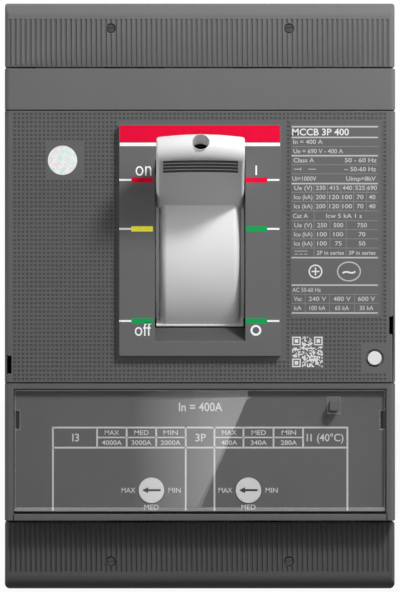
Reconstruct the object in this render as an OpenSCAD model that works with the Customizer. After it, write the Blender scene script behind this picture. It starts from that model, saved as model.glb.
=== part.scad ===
// Three-pole molded case circuit breaker, fixed type with low terminal covers. Units are millimetres.
// Axes: +X to the right, +Z up, and the front looks along -Y. The origin is the centre of the back face.
// Depths are measured forward from the back face, so a depth of d lies at y = -d.

/* [Case] */
// Width over the three poles.
case_w = 140; // [105:1:210]
// Height of the case without its terminal covers.
case_h = 205; // [180:1:240]
// Depth of the rear base moulding.
base_d = 58; // [50:1:64]
// Depth to the plain band at the top of the main cover.
cover_d = 101; // [99:0.5:101.5]
// Depth of the seat that the front cover and the trip frame rest on.
seat_d = 88; // [86:0.5:89]
// Depth to the textured face of the front cover.
front_d = 101.5; // [100:0.5:102]
// Depth to the face of the escutcheon around the lever.
escutcheon_d = 104; // [103:0.5:105]
// Height at which the main cover meets the upper terminal cover.
top_split = 81.6; // [80:0.1:84]
// Height at which the trip frame meets the lower terminal cover.
bottom_split = -80.6; // [-82:0.1:-80]
// Height of the seam between the plain band and the front cover.
front_top = 66.7; // [64:0.1:70]
// Height of the seam between the front cover and the trip frame.
front_bottom = -31; // [-34:0.1:-30]
// Corner radius of the case in front view.
case_corner_r = 1; // [0.5:0.1:3]
// Radius of the upright front edges.
edge_r = 2; // [1:0.1:3]

/* [Terminals] */
// Centre distance of neighbouring poles.
pole_pitch = 46.5; // [44:0.1:48]
// Width of one terminal chamber.
chamber_w = 33; // [28:1:34]
// Depth of the chamber floor under the terminal.
chamber_floor_d = 38; // [30:1:42]
// Width of one terminal bar.
terminal_w = 25; // [20:1:28]
// Thickness of one terminal bar.
terminal_t = 6; // [4:0.5:8]
// Height of the terminal hole above the centre of the case.
terminal_hole_z = 90.5; // [88:0.5:94]
// Radius of the terminal hole.
terminal_hole_r = 5; // [4:0.5:6]
// Radius of a mounting hole.
mount_r = 2.75; // [2:0.25:3]
// Height of the mounting holes above and below the centre.
mount_z = 88; // [86:0.5:90]

/* [Terminal covers] */
// Depth to the ribbed face of a terminal cover.
tcover_d = 93.5; // [88:0.5:95]
// Height that a terminal cover stands beyond the end of the case.
tcover_out = 2.65; // [2:0.05:3]
// Wall thickness of a terminal cover.
tcover_t = 2.2; // [1.8:0.1:2.6]
// Radius of the long outer edge of a terminal cover.
tcover_edge_r = 5; // [3:0.5:6]
// Distance of a cover screw from the middle.
cover_screw_x = 32; // [30:0.5:33]
// Height of the upper cover screws.
upper_screw_z = 96.1; // [95:0.1:98]
// Distance of the lower cover screws below the centre.
lower_screw_z = 95.4; // [95:0.1:98]

/* [Lever] */
// Height of the lever's pivot.
pivot_z = 16.2; // [14:0.1:18]
// Depth of the lever's pivot.
pivot_d = 59.5; // [59:0.5:60]
// Swing of the lever to each side of the middle, in degrees.
lever_angle = 29.5; // [28:0.1:29.6]
// Distance from the pivot to the tip of the grip.
tip_r = 78.9; // [76:0.1:84]
// Outer radius of the curved shield that closes the slot.
drum_r = 43; // [42.5:0.1:43]
// Half the angle that the shield covers, in degrees.
drum_half = 68.4; // [67:0.1:69]
// Width of the grip.
grip_w = 31.5; // [28:0.5:32]
// Width of the shield.
shield_w = 32; // [28:0.1:32]
// Thickness of the grip.
grip_t = 10; // [8:0.5:10]
// Radius of the nose of the grip, seen from the side.
nose_r = 5.2; // [5.1:0.1:7]
// Radius of the two front corners of the grip.
grip_corner_r = 1.5; // [1:0.1:2.5]
// Width of the narrow ledge along each side of the shield.
ledge_w = 1.4; // [1:0.1:2]
// Width of the rounded shoulder between the ledge and the face of the shield.
shoulder_w = 2.8; // [2:0.1:3.2]
// Radius of the convex tip in plan.
tip_arc_r = 60; // [50:5:90]
// Radius of the round hole in the tip.
tip_hole_r = 3.15; // [2:0.05:3.5]
// Radius of the steel axle.
axle_r = 2.5; // [2:0.5:3]

/* [Trip unit] */
// Half the width of the window in the trip frame.
window_x = 66.8; // [64:0.1:67]
// Top of the window in the trip frame.
window_top = -33.4; // [-35:0.1:-33]
// Bottom of the window in the trip frame.
window_bottom = -78.2; // [-79:0.1:-77]
// Depth to the face of the trip frame.
frame_d = 101; // [100.5:0.5:101.5]
// Depth to the printed face of the trip unit.
panel_d = 98.6; // [97:0.1:98.6]
// Distance of a setting dial from the middle.
dial_x = 17.4; // [16:0.1:20]
// Height of the setting dials.
dial_z = -69.7; // [-71:0.1:-68]
// Radius of a setting dial.
dial_r = 4.6; // [4:0.1:5]
// Thickness of the clear flap.
flap_t = 1.2; // [1:0.1:1.3]
// Height of the flap's hinge axis.
hinge_z = -76.6; // [-77:0.1:-76]
// Depth of the flap's hinge axis.
hinge_d = 99.8; // [99.7:0.1:100]

/* [Small parts] */
// Sideways position of the test button.
button_x = 62.6; // [60:0.1:64]
// Height of the test button.
button_z = -22.3; // [-24:0.1:-20]
// Radius of the test button.
button_r = 2.5; // [2:0.1:3]
// Left edge of the rating plate.
plate_x0 = 32.4; // [31:0.1:36]
// Right edge of the rating plate.
plate_x1 = 65.2; // [60:0.1:66]
// Lower edge of the rating plate.
plate_z0 = -7.9; // [-10:0.1:0]
// Upper edge of the rating plate.
plate_z1 = 62; // [55:0.1:63]

/* [Hidden] */
$fn = 64;
half_w = case_w / 2;
half_h = case_h / 2;
mount_x = pole_pitch / 2;
case_screw_x = 60;
case_screw_z = [60, -20];
tower_top_d = tcover_d - tcover_t;
terminal_d = chamber_floor_d + terminal_t;
pin_gap = 0.06;
fine_gap = 0.1;
grip_half = grip_w / 2;
shield_half = shield_w / 2;
well_half = 17;
slot_half = 16.2;
well_r = drum_r + 1.2;
arc_d = pivot_d + tip_r - tip_arc_r;
cheek_x0 = 12.9;
cheek_x1 = 15.4;
yoke_bar_r = 34;
POLES = [-1, 0, 1];

// Box from x0 to x1 and z0 to z1, between the depths d0 and d1.
module slab(x0, x1, z0, z1, d0, d1) {
    translate([x0, -d1, z0]) cube([x1 - x0, d1 - d0, z1 - z0]);
}

// Round bar that runs forward from depth d0 to depth d1.
module bar(x, z, r, d0, d1) {
    translate([x, -d0, z]) rotate([90, 0, 0]) cylinder(r = r, h = d1 - d0);
}

// Round bar along X around the point at height z and depth d.
module crossbar(z, d, r, x0, x1) {
    translate([x0, -d, z]) rotate([0, 90, 0]) cylinder(r = r, h = x1 - x0);
}

// Flat shape drawn in x and z, standing from depth d0 to depth d1.
module front_shape(d0, d1) {
    translate([0, -d0, 0]) rotate([90, 0, 0]) linear_extrude(d1 - d0) children();
}

// Flat shape drawn in z and depth, running from x0 to x1.
module side_shape(x0, x1) {
    translate([x0, 0, 0]) rotate([0, -90, 180]) linear_extrude(x1 - x0) children();
}

// Rectangle with round corners.
module round_rect(x0, x1, z0, z1, r) {
    translate([x0 + r, z0]) square([x1 - x0 - 2 * r, z1 - z0]);
    translate([x0, z0 + r]) square([x1 - x0, z1 - z0 - 2 * r]);
    for (x = [x0 + r, x1 - r], z = [z0 + r, z1 - r]) translate([x, z]) circle(r = r);
}

// The same shape at the top and, mirrored, at the bottom of the case.
module both_ends() {
    for (flip = [0, 1]) mirror([0, 0, flip]) children();
}

// Upright block with rounded front edges, out to depth front, that trims a moulding.
module soft_sides(front) {
    x = half_w + 0.02;
    y = -front - 0.02;
    translate([0, 0, -half_h - 5]) linear_extrude(case_h + 10) {
        translate([-x, y + edge_r]) square([2 * x, front]);
        translate([-x + edge_r, y]) square([2 * (x - edge_r), 2 * edge_r]);
        for (s = [-1, 1]) translate([s * (x - edge_r), y + edge_r]) circle(r = edge_r);
    }
}

// Turns a lever drawn pointing straight out to its ON position, up.
module lever_on() {
    translate([0, -pivot_d, pivot_z]) rotate([-lever_angle, 0, 0])
        translate([0, pivot_d, -pivot_z]) children();
}

// Space in which the lever, its shield and its yoke swing.
module lever_well() {
    intersection() {
        crossbar(pivot_z, pivot_d, well_r, -well_half, well_half);
        slab(-well_half, well_half, pivot_z - well_r, pivot_z + well_r, pivot_d - 8, escutcheon_d - 1);
    }
    slab(-well_half, well_half, pivot_z - 20, pivot_z + 20, 40, base_d);
}

// Rear moulding: terminal chambers, phase walls, mounting holes and the towers for the cover screws.
module base() {
    color("dimgray")
    difference() {
        union() {
            difference() {
                front_shape(0, base_d) round_rect(-half_w, half_w, -half_h, half_h, case_corner_r);
                for (p = POLES) both_ends() terminal_chamber(p * pole_pitch);
            }
            for (s = [0, 1]) mirror([s, 0, 0]) both_ends() slab(22, 36.5, 93.2, 101, base_d, tower_top_d);
        }
        for (s = [-1, 1]) bar(s * cover_screw_x, upper_screw_z, 1.05, 63, tower_top_d + 1);
        for (s = [-1, 1]) bar(s * cover_screw_x, -lower_screw_z, 1.05, 63, tower_top_d + 1);
        for (s = [-1, 1]) both_ends() phase_wall_holes(s * mount_x);
        lever_well();
        crossbar(pivot_z, pivot_d, axle_r + 0.02, -21, 21);
        for (x = [-case_screw_x, case_screw_x], z = case_screw_z) {
            bar(x, z, 2.1, 5, base_d + 1);
            bar(x, z, 4.4, -1, 6);
        }
        for (p = POLES) both_ends() slab(p * pole_pitch - 15, p * pole_pitch + 15, 26, 54, -1, 2.5);
        for (s = [0, 1]) mirror([s, 0, 0]) slab(half_w - 0.6, half_w + 1, -72, 72, 10, 50);
    }
}

// One chamber at the upper end, with the seat of its terminal bar and the pocket for a nut.
module terminal_chamber(x) {
    slab(x - chamber_w / 2, x + chamber_w / 2, top_split, half_h + 1, chamber_floor_d, base_d + 1);
    seat_x = terminal_w / 2 + fine_gap;
    slab(x - seat_x, x + seat_x, 72, top_split + 1, chamber_floor_d, terminal_d + fine_gap);
    translate([x, -chamber_floor_d - 0.5, terminal_hole_z])
        rotate([-90, 0, 0]) cylinder(r = 9.9, h = 14.5, $fn = 6);
}

// Mounting hole with its counterbore, and the groove for a phase barrier, in one wall between two poles.
module phase_wall_holes(x) {
    bar(x, mount_z, mount_r, -1, 46);
    bar(x, mount_z, 5, 45, base_d + 1);
    slab(x - 1.6, x + 1.6, half_h - 3, half_h + 1, 8, base_d + 1);
}

// Middle moulding with the plain band, the seat of the front cover and the pocket of the trip unit.
module main_cover() {
    color("dimgray")
    difference() {
        intersection() {
            front_shape(base_d, cover_d) round_rect(-half_w, half_w, bottom_split, top_split, 0.6);
            soft_sides(cover_d);
        }
        slab(-half_w - 1, half_w + 1, bottom_split - 1, front_top, seat_d, cover_d + 1);
        slab(-62, 62, -76, -37, 65.9, seat_d + 1);
        lever_well();
        crossbar(pivot_z, pivot_d, axle_r + 0.02, -21, 21);
        for (x = [-case_screw_x, case_screw_x], z = case_screw_z) bar(x, z, 1.95, base_d - 1, 80);
        for (s = [0, 1]) mirror([s, 0, 0]) slab(half_w - 0.6, half_w + 1, -72, 60, 64, 82);
    }
}

// Removable front cover that carries the texture, the rating plate and the test button.
module front_cover() {
    color("dimgray")
    difference() {
        intersection() {
            front_shape(seat_d, front_d)
                round_rect(-half_w, half_w, front_bottom, front_top - 0.3, 0.6);
            soft_sides(front_d);
        }
        slab(-26, 26, -20, 60, 92, front_d + 1);
        lever_well();
        slab(plate_x0 - fine_gap, plate_x1 + fine_gap, plate_z0 - fine_gap, plate_z1 + fine_gap,
             front_d - 0.3, front_d + 1);
        bar(button_x, button_z, button_r + pin_gap, seat_d - 1, front_d + 1);
        bar(button_x, button_z, 3.2, front_d - 0.8, front_d + 1);
        slab(-69.1, -67.7, -27.7, -21.5, front_d - 6, front_d + 1);
        slab(67.9, 69.2, -13.6, -7.5, front_d - 6, front_d + 1);
    }
}

// Raised plate around the lever, with a sloped ramp at each end of its slot.
module escutcheon() {
    foot_z = 27.6;
    mouth_z = 32.5;
    foot_d = 94.3;
    slope = (mouth_z - foot_z) / (escutcheon_d - foot_d);
    color("gray")
    difference() {
        union() {
            front_shape(front_d, escutcheon_d) round_rect(-29, 29.1, -21.5, 61.6, 0.7);
            slab(-25.9, 25.9, -19.9, 59.9, 92, front_d + 0.5);
        }
        lever_well();
        side_shape(-slot_half, slot_half) polygon([
            [pivot_z - foot_z, 80],
            [pivot_z + foot_z, 80],
            [pivot_z + foot_z, foot_d],
            [pivot_z + mouth_z + slope, escutcheon_d + 1],
            [pivot_z - mouth_z - slope, escutcheon_d + 1],
            [pivot_z - foot_z, foot_d]
        ]);
    }
}

// White lever: grip with a round hole in its tip, curved shield and the foot that stands in the yoke.
module lever_handle() {
    color("white")
    lever_on()
    difference() {
        union() {
            grip();
            shield();
            slab(-cheek_x0 + fine_gap, cheek_x0 - fine_gap, pivot_z - 4, pivot_z + 4,
                 pivot_d + yoke_bar_r, pivot_d + drum_r - 3);
        }
        bar(0, pivot_z, tip_hole_r, pivot_d + tip_r - 7.4, pivot_d + tip_r + 1);
        for (k = [0:3], side = [-1, 1]) grip_groove(tip_r - 4.7 - 2.22 * k, side);
    }
}

// Flat grip with a rounded nose and a root that flares into the shield.
module grip() {
    root_t = grip_t / 2 + 0.4;
    intersection() {
        side_shape(-grip_half - 1, grip_half + 1) polygon([
            [pivot_z - root_t, pivot_d + drum_r - 5.5],
            [pivot_z + root_t, pivot_d + drum_r - 5.5],
            [pivot_z + grip_t / 2, pivot_d + drum_r + 20],
            [pivot_z + grip_t / 2, pivot_d + tip_r],
            [pivot_z - grip_t / 2, pivot_d + tip_r],
            [pivot_z - grip_t / 2, pivot_d + drum_r + 20]
        ]);
        front_shape(pivot_d, pivot_d + tip_r + 1)
            round_rect(-grip_half, grip_half, pivot_z - root_t - 0.1, pivot_z + root_t + 0.1, 2.6);
        translate([0, -arc_d, pivot_z]) rotate_extrude() {
            translate([0, -root_t - 1]) square([tip_arc_r - nose_r, 2 * root_t + 2]);
            translate([tip_arc_r - nose_r, 0]) circle(r = nose_r);
        }
        translate([0, 0, pivot_z - root_t - 1]) linear_extrude(2 * root_t + 2) grip_plan();
    }
}

// Outline of the grip seen from above: it trims the two front corners round.
module grip_plan() {
    arc_r = tip_arc_r + 0.2;
    corner_x = grip_half - grip_corner_r;
    corner_y = sqrt(pow(arc_r - grip_corner_r, 2) - corner_x * corner_x);
    arc_x = corner_x * arc_r / (arc_r - grip_corner_r);
    translate([0, -arc_d]) {
        intersection() {
            circle(r = arc_r);
            translate([-arc_x, -arc_r]) square([2 * arc_x, arc_r]);
        }
        translate([-grip_half - 0.02, -corner_y]) square([grip_w + 0.04, corner_y + 40]);
        for (s = [-1, 1]) translate([s * (corner_x + 0.02), -corner_y]) circle(r = grip_corner_r);
    }
}

// One slightly arched slot in the upper or the lower face of the grip; r is its distance from the pivot.
module grip_groove(r, side) {
    arch_r = 160;
    intersection() {
        translate([0, -pivot_d - r + arch_r, pivot_z + side * grip_t / 2 - 1.8]) difference() {
            cylinder(r = arch_r, h = 3.6);
            translate([0, 0, -1]) cylinder(r = arch_r - 1.75, h = 5.6);
        }
        slab(-13.4, 13.4, pivot_z - grip_t, pivot_z + grip_t, pivot_d + 60, pivot_d + tip_r);
    }
}

// Curved shield with rounded shoulders and a low lip across each end.
module shield() {
    intersection() {
        around_pivot() shield_profile();
        wedge(-drum_half, drum_half);
    }
    for (s = [-1, 1]) intersection() {
        around_pivot() translate([drum_r - 6, -shield_half + 0.3]) square([6.5, shield_w - 0.6]);
        wedge(s * (drum_half - 0.5) - 0.5, s * (drum_half - 0.5) + 0.5);
    }
}

// Ring swept around the pivot from a section drawn in radius and width.
module around_pivot() {
    translate([0, -pivot_d, pivot_z]) rotate([0, 90, 0]) rotate_extrude() children();
}

// Section of the shield: flat face, a rounded shoulder on each side and a ledge along each edge.
module shield_profile() {
    shoulder_drop = 3.4;
    shoulder_x = shield_half - ledge_w;
    arc = [for (a = [90:-15:0])
        [drum_r - shoulder_drop * (1 - cos(a)), shoulder_x - shoulder_w * (1 - sin(a))]];
    back = [for (k = [len(arc) - 1:-1:0]) [arc[k][0], -arc[k][1]]];
    edge_r0 = drum_r - shoulder_drop - 0.6;
    polygon(concat(
        [[drum_r - 6, shield_half], [edge_r0, shield_half]],
        arc,
        back,
        [[edge_r0, -shield_half], [drum_r - 6, -shield_half]]
    ));
}

// Sector around the pivot between two angles, measured upward from straight ahead.
module wedge(a0, a1) {
    side_shape(-shield_half - 1, shield_half + 1) polygon([
        [pivot_z, pivot_d],
        [pivot_z + 120 * sin(a0), pivot_d + 120 * cos(a0)],
        [pivot_z + 90 * sin((a0 + a1) / 2), pivot_d + 90 * cos((a0 + a1) / 2)],
        [pivot_z + 120 * sin(a1), pivot_d + 120 * cos(a1)]
    ]);
}

// Steel yoke: two cheeks with round eyes, a hub tube and the bar that the handle stands on.
module lever_yoke() {
    color("silver")
    lever_on()
    difference() {
        union() {
            for (x = [-cheek_x1, cheek_x0]) {
                crossbar(pivot_z, pivot_d, 8, x, x + cheek_x1 - cheek_x0);
                side_shape(x, x + cheek_x1 - cheek_x0) polygon([
                    [pivot_z - 8, pivot_d],
                    [pivot_z + 8, pivot_d],
                    [pivot_z + 6, pivot_d + 35.5],
                    [pivot_z - 6, pivot_d + 35.5]
                ]);
            }
            crossbar(pivot_z, pivot_d, 5, -cheek_x1, cheek_x1);
            slab(-cheek_x1, cheek_x1, pivot_z - 4, pivot_z + 4,
                 pivot_d + yoke_bar_r - 6, pivot_d + yoke_bar_r);
        }
        crossbar(pivot_z, pivot_d, axle_r + pin_gap, -cheek_x1 - 1, cheek_x1 + 1);
    }
}

// Steel axle that the yoke swings on.
module lever_axle() {
    color("silver") crossbar(pivot_z, pivot_d, axle_r, -20.9, 20.9);
}

// Trip unit: body, printed face, dial bores, finger slots and the seat of the seal post.
module trip_unit() {
    color("dimgray")
    difference() {
        union() {
            slab(-61.9, 61.9, -75.9, -37.1, 66, seat_d + 2);
            slab(-window_x + 0.2, window_x - 0.2, window_bottom + 0.9, window_top - 0.1, seat_d, panel_d);
        }
        for (s = [-1, 1]) {
            bar(s * dial_x, dial_z, dial_r + 0.15, panel_d - 3.6, panel_d + 1);
            bar(s * dial_x, dial_z, 2 + pin_gap, panel_d - 8, panel_d - 2);
        }
        for (s = [0, 1]) mirror([s, 0, 0]) slab(64.8, 66.1, -47.6, -41.2, panel_d - 3.5, panel_d + 1);
        slab(46.5, 49.6, -41.2, -37.6, panel_d - 4.6, panel_d + 1);
    }
}

// Frame around the window of the trip unit, with two blind holes for the flap's pins and a groove
// below each lower corner.
module trip_frame() {
    color("dimgray")
    difference() {
        intersection() {
            front_shape(seat_d, frame_d) round_rect(-half_w, half_w, bottom_split, front_bottom - 0.12, 0.6);
            soft_sides(frame_d);
        }
        slab(-window_x, window_x, window_bottom, window_top, seat_d - 1, frame_d + 1);
        crossbar(hinge_z, hinge_d, 0.67, -window_x - 1.6, window_x + 1.6);
        for (x = [-window_x - 0.3, window_x])
            slab(x, x + 0.3, bottom_split - 1, window_bottom + 0.2, frame_d - 0.5, frame_d + 1);
    }
}

// Clear flap over the settings, hinged along its lower edge, with room for the seal post.
module trip_flap() {
    flap_x = window_x - 0.4;
    color([0.85, 0.9, 0.95, 0.35])
    difference() {
        union() {
            slab(-flap_x, flap_x, hinge_z, window_top - 0.4, hinge_d - flap_t / 2, hinge_d + flap_t / 2);
            crossbar(hinge_z, hinge_d, 0.8, -flap_x, flap_x);
            crossbar(hinge_z, hinge_d, 0.6, -flap_x - 1.8, flap_x + 1.8);
        }
        slab(45.9, 50.2, -42, -36.4, hinge_d - 2, hinge_d + 2);
        for (s = [0, 1]) mirror([s, 0, 0]) slab(64.7, flap_x + 1, -47.7, -41.1, hinge_d - 2, hinge_d + 2);
    }
}

// Post with a cross hole for a seal wire.
module seal_post() {
    color("dimgray")
    difference() {
        slab(46.5, 49.6, -41.2, -37.6, panel_d - 4.5, hinge_d + 3.1);
        crossbar(-39.4, hinge_d + 1.8, 0.7, 46, 51);
    }
}

// Setting dial with an arrow sunk in its face and a stub that turns in the trip unit.
module dial(x) {
    color("white")
    difference() {
        union() {
            bar(x, dial_z, dial_r, panel_d - 3.5, panel_d + 0.3);
            bar(x, dial_z, 2, panel_d - 7.5, panel_d - 3);
        }
        translate([x, 0, dial_z]) front_shape(panel_d + 0.1, panel_d + 1) polygon([
            [-3.4, 0], [-1.2, 1.1], [-1.2, 0.4], [3.3, 0.4], [3.3, -0.4], [-1.2, -0.4], [-1.2, -1.1]
        ]);
    }
}

module magnetic_dial() {
    dial(-dial_x);
}

module thermal_dial() {
    dial(dial_x);
}

// Push button that trips the breaker for a test.
module test_button() {
    color("white") bar(button_x, button_z, button_r, seat_d + 2.2, front_d + 0.5);
}

// Terminal cover drawn for the upper end, with its inner edge at height split.
module terminal_cover(split, screw_z, corner_r) {
    end_z = half_h + tcover_out;
    difference() {
        intersection() {
            side_shape(-half_w, half_w) {
                translate([split, base_d]) square([end_z - tcover_edge_r - split, tcover_d - base_d]);
                translate([split, base_d]) square([end_z - split, tcover_d - tcover_edge_r - base_d]);
                translate([half_h, 36]) square([tcover_out, 30]);
                translate([end_z - tcover_edge_r, tcover_d - tcover_edge_r]) circle(r = tcover_edge_r);
            }
            front_shape(30, tcover_d + 1) round_rect(-half_w, half_w, split - 10, end_z, corner_r);
            soft_sides(tcover_d);
        }
        slab(-half_w + tcover_t, half_w - tcover_t, split - 1, half_h, base_d - 1, tcover_d - tcover_t);
        for (p = POLES) slab(p * pole_pitch - 15.5, p * pole_pitch + 15.5, half_h - 1, end_z + 1, 40, 60);
        for (s = [-1, 1]) slab(s * mount_x - 1.6, s * mount_x + 1.6, half_h - 1, end_z + 1, 30, 68);
        for (s = [-1, 1]) {
            bar(s * cover_screw_x, screw_z, 1.1, base_d, tcover_d + 1);
            bar(s * cover_screw_x, screw_z, 1.7, tcover_d - 1.2, tcover_d + 1);
        }
    }
}

module upper_terminal_cover() {
    color("gray") terminal_cover(top_split + 0.55, upper_screw_z, 1);
}

module lower_terminal_cover() {
    color("gray") mirror([0, 0, 1]) terminal_cover(-bottom_split + 0.55, lower_screw_z, 1.8);
}

// Slotted screw of a terminal cover, sunk in its face.
module cover_screw(x, z) {
    color("silver")
    difference() {
        union() {
            bar(x, z, 1.4, tcover_d - 1.2, tcover_d - 0.3);
            bar(x, z, 1, 64, tcover_d - 1);
        }
        slab(x - 2, x + 2, z - 0.25, z + 0.25, tcover_d - 0.7, tcover_d);
    }
}

module upper_cover_screw_left() {
    cover_screw(-cover_screw_x, upper_screw_z);
}

module upper_cover_screw_right() {
    cover_screw(cover_screw_x, upper_screw_z);
}

module lower_cover_screw_left() {
    cover_screw(-cover_screw_x, -lower_screw_z);
}

module lower_cover_screw_right() {
    cover_screw(cover_screw_x, -lower_screw_z);
}

// Copper terminal bar of one pole, drawn for the upper end, with the hole for a lug's bolt.
module terminal(x) {
    color("peru")
    difference() {
        slab(x - terminal_w / 2, x + terminal_w / 2, 72.1, half_h - 2, chamber_floor_d, terminal_d);
        bar(x, terminal_hole_z, terminal_hole_r, chamber_floor_d - 1, terminal_d + 1);
    }
}

module line_terminal_1() {
    terminal(-pole_pitch);
}

module line_terminal_2() {
    terminal(0);
}

module line_terminal_3() {
    terminal(pole_pitch);
}

module load_terminal_1() {
    mirror([0, 0, 1]) terminal(-pole_pitch);
}

module load_terminal_2() {
    mirror([0, 0, 1]) terminal(0);
}

module load_terminal_3() {
    mirror([0, 0, 1]) terminal(pole_pitch);
}

// Thin rating plate let into the front cover.
module rating_plate() {
    color("darkslategray") slab(plate_x0, plate_x1, plate_z0, plate_z1, front_d - 0.3, front_d + 0.1);
}

// Long screw from the back that holds the main cover on the base.
module case_screw(x, z) {
    color("silver")
    difference() {
        union() {
            bar(x, z, 4, 2.6, 6);
            bar(x, z, 1.9, 5, 79);
        }
        translate([x, -4.4, z]) rotate([-90, 0, 0]) cylinder(r = 2.3, h = 3, $fn = 6);
    }
}

module case_screw_1() {
    case_screw(-case_screw_x, case_screw_z[0]);
}

module case_screw_2() {
    case_screw(case_screw_x, case_screw_z[0]);
}

module case_screw_3() {
    case_screw(-case_screw_x, case_screw_z[1]);
}

module case_screw_4() {
    case_screw(case_screw_x, case_screw_z[1]);
}

base();
main_cover();
front_cover();
escutcheon();
lever_handle();
lever_yoke();
lever_axle();
trip_unit();
trip_frame();
trip_flap();
seal_post();
magnetic_dial();
thermal_dial();
test_button();
upper_terminal_cover();
lower_terminal_cover();
upper_cover_screw_left();
upper_cover_screw_right();
lower_cover_screw_left();
lower_cover_screw_right();
line_terminal_1();
line_terminal_2();
line_terminal_3();
load_terminal_1();
load_terminal_2();
load_terminal_3();
rating_plate();
case_screw_1();
case_screw_2();
case_screw_3();
case_screw_4();
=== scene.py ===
"""Looks of a three-pole molded case circuit breaker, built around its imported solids."""
import math
import random

import bmesh
import bpy
from mathutils import Matrix, Vector


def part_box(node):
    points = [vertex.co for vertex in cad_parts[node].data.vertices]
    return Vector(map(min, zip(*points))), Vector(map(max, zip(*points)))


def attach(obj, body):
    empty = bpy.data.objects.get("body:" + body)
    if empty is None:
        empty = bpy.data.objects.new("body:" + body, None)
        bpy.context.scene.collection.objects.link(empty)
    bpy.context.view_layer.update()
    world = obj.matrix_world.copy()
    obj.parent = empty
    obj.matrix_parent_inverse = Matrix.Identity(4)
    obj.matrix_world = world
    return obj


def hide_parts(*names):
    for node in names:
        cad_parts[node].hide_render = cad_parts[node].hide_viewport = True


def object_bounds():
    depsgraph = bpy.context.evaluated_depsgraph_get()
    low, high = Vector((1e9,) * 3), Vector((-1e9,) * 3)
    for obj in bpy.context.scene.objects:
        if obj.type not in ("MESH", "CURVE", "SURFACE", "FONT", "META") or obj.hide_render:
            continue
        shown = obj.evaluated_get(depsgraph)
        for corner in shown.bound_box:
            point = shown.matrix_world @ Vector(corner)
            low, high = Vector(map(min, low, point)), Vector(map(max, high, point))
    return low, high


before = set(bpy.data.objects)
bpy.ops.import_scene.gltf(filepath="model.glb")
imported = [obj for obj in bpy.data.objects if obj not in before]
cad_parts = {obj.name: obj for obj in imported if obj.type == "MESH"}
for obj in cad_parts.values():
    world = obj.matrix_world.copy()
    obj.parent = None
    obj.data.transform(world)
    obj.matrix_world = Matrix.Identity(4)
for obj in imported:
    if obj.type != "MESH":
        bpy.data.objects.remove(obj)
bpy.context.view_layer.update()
scene = bpy.context.scene
MM = 0.001


# ---------------------------------------------------------------------------------------------
# Rear base. One compression moulding of glass-filled thermoset in dark grey, with the terminal
# chambers, phase walls and mounting holes. Its edges leave the mould slightly round.

def moulded_plastic(name, colour, roughness=0.5, grain=0.5 * MM, relief=0.018 * MM, gloss=0.06,
                    fleck_tone=1.25):
    """Filled plastic whose tone drifts a little, with the fine matt grain of an eroded mould."""
    material = bpy.data.materials.new(name)
    material.use_nodes = True
    nodes, links = material.node_tree.nodes, material.node_tree.links
    shader = nodes["Principled BSDF"]
    place = nodes.new("ShaderNodeTexCoord")

    drift = nodes.new("ShaderNodeTexNoise")
    drift.inputs["Scale"].default_value = 1 / (26 * MM)
    drift.inputs["Detail"].default_value = 4
    drift.inputs["Roughness"].default_value = 0.6
    speck = nodes.new("ShaderNodeTexNoise")
    speck.inputs["Scale"].default_value = 1 / grain
    speck.inputs["Detail"].default_value = 2
    for noise in (drift, speck):
        links.new(place.outputs["Object"], noise.inputs["Vector"])

    tone = nodes.new("ShaderNodeMix")
    tone.data_type = "RGBA"
    tone.inputs["A"].default_value = (*[c * 0.93 for c in colour], 1)
    tone.inputs["B"].default_value = (*[c * 1.07 for c in colour], 1)
    links.new(drift.outputs["Fac"], tone.inputs["Factor"])
    fleck = nodes.new("ShaderNodeMix")
    fleck.data_type = "RGBA"
    fleck.inputs["B"].default_value = (*[min(1, c * fleck_tone) for c in colour], 1)
    amount = nodes.new("ShaderNodeMapRange")
    amount.inputs["From Min"].default_value = 0.5
    amount.inputs["From Max"].default_value = 0.8
    amount.inputs["To Max"].default_value = 0.35
    links.new(speck.outputs["Fac"], amount.inputs["Value"])
    links.new(amount.outputs["Result"], fleck.inputs["Factor"])
    links.new(tone.outputs["Result"], fleck.inputs["A"])
    links.new(fleck.outputs["Result"], shader.inputs["Base Color"])

    sheen = nodes.new("ShaderNodeMapRange")
    sheen.inputs["To Min"].default_value = roughness - 0.05
    sheen.inputs["To Max"].default_value = roughness + 0.06
    links.new(drift.outputs["Fac"], sheen.inputs["Value"])
    links.new(sheen.outputs["Result"], shader.inputs["Roughness"])
    bump = nodes.new("ShaderNodeBump")
    bump.inputs["Strength"].default_value = 0.6
    bump.inputs["Distance"].default_value = relief
    links.new(speck.outputs["Fac"], bump.inputs["Height"])
    links.new(bump.outputs["Normal"], shader.inputs["Normal"])
    shader.inputs["Specular IOR Level"].default_value = gloss
    return material


def new_piece(name, mesh, material=None):
    """An object at the origin with that mesh, and with one material where one is given."""
    piece = bpy.data.objects.new(name, mesh)
    scene.collection.objects.link(piece)
    if material:
        mesh.materials.clear()
        mesh.materials.append(material)
    return piece


def solid_copy(node, name, material):
    """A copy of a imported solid, with its doubles merged and each flat face made whole."""
    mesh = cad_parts[node].data.copy()
    mesh.name = name
    shape = bmesh.new()
    shape.from_mesh(mesh)
    bmesh.ops.remove_doubles(shape, verts=shape.verts, dist=0.002 * MM)
    bmesh.ops.dissolve_limit(shape, angle_limit=math.radians(0.8), verts=shape.verts, edges=shape.edges)
    shape.to_mesh(mesh)
    shape.free()
    for leftover in ("custom_normal", "sharp_edge", "sharp_face"):
        if leftover in mesh.attributes:
            mesh.attributes.remove(mesh.attributes[leftover])
    return new_piece(name, mesh, material)


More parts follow.
